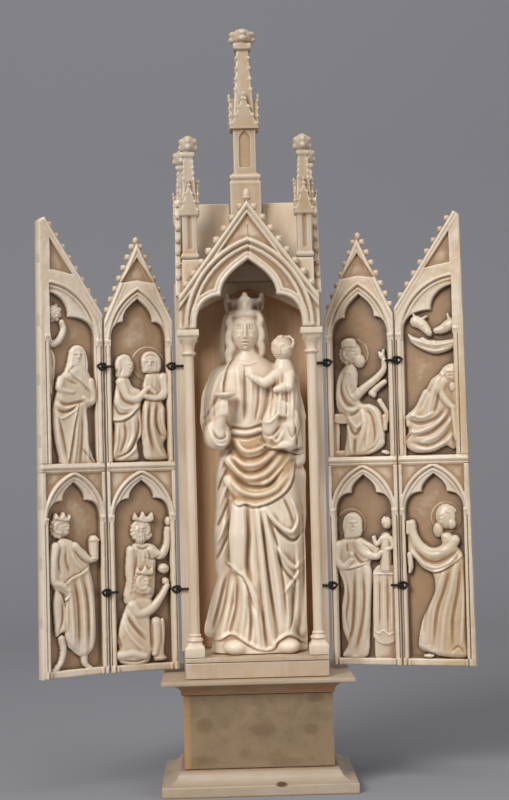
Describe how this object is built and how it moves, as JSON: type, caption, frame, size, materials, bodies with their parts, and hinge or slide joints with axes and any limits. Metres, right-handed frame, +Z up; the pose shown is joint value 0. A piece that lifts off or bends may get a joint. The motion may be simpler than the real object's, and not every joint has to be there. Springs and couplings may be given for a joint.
{
  "type": "tabernacle shrine",
  "caption": "Carved ivory Gothic shrine: crowned Virgin and Child in a gabled niche with pinnacles and spire, hinged relief leaves folding round it, on a moulded pedestal.",
  "frame": {"origin": "centre of the pedestal's underside", "axes": "+X to the viewer's right, +Y away from the viewer, +Z up"},
  "size_m": [0.2047, 0.072, 0.36],
  "materials": {
    "pedestal_ivory": "aged ivory, smooth and slightly waxy, cream with honey-coloured hollows",
    "die_ivory": "aged ivory veneer, mottled brown and olive with small dark stains, dull",
    "case_ivory": "aged ivory, cream, brown in the hollows and the niche",
    "figure_ivory": "polished ivory, pale cream with golden stains in the folds",
    "canopy_ivory": "aged ivory, cream with warm brown recesses",
    "leaf_ivory": "aged ivory relief, cream with brown grounds",
    "hinge_wire": "blackened wire, dull"
  },
  "bodies": {
    "shrine": {"pedestal_foot": "pedestal_ivory", "pedestal_die": "die_ivory", "pedestal_cornice": "pedestal_ivory", "shrine_floor": "case_ivory", "floor_slab": "case_ivory", "back_plate": "case_ivory", "virgin_and_child": "figure_ivory", "left_colonnette": "case_ivory", "right_colonnette": "case_ivory", "canopy": "canopy_ivory", "front_left_pinnacle": "canopy_ivory", "front_right_pinnacle": "canopy_ivory", "rear_left_pinnacle": "canopy_ivory", "rear_right_pinnacle": "canopy_ivory", "spire": "canopy_ivory", "left_case_eye_upper": "hinge_wire", "left_case_eye_lower": "hinge_wire", "right_case_eye_upper": "hinge_wire", "right_case_eye_lower": "hinge_wire"},
    "left_inner_wing": {"left_inner_leaf": "leaf_ivory", "left_inner_link_upper": "hinge_wire", "left_inner_link_lower": "hinge_wire", "left_inner_eye_upper": "hinge_wire", "left_inner_eye_lower": "hinge_wire"},
    "left_outer_wing": {"left_outer_leaf": "leaf_ivory", "left_outer_link_upper": "hinge_wire", "left_outer_link_lower": "hinge_wire"},
    "right_inner_wing": {"right_inner_leaf": "leaf_ivory", "right_inner_link_upper": "hinge_wire", "right_inner_link_lower": "hinge_wire", "right_inner_eye_upper": "hinge_wire", "right_inner_eye_lower": "hinge_wire"},
    "right_outer_wing": {"right_outer_leaf": "leaf_ivory", "right_outer_link_upper": "hinge_wire", "right_outer_link_lower": "hinge_wire"}
  },
  "joints": [
    {"name": "left_inner_hinge", "type": "hinge", "parent": "shrine", "child": "left_inner_wing", "pos_m": [-0.0359, 0, 0.145], "axis": [0, 0, 1], "range_deg": [-22, 73]},
    {"name": "left_outer_hinge", "type": "hinge", "parent": "left_inner_wing", "child": "left_outer_wing", "pos_m": [-0.06861, -0.01, 0.145], "axis": [0, 0, 1], "range_deg": [-21, 74]},
    {"name": "right_inner_hinge", "type": "hinge", "parent": "shrine", "child": "right_inner_wing", "pos_m": [0.0359, 0, 0.145], "axis": [0, 0, -1], "range_deg": [-22, 73]},
    {"name": "right_outer_hinge", "type": "hinge", "parent": "right_inner_wing", "child": "right_outer_wing", "pos_m": [0.06861, -0.01, 0.145], "axis": [0, 0, -1], "range_deg": [-6, 89]}
  ]
}
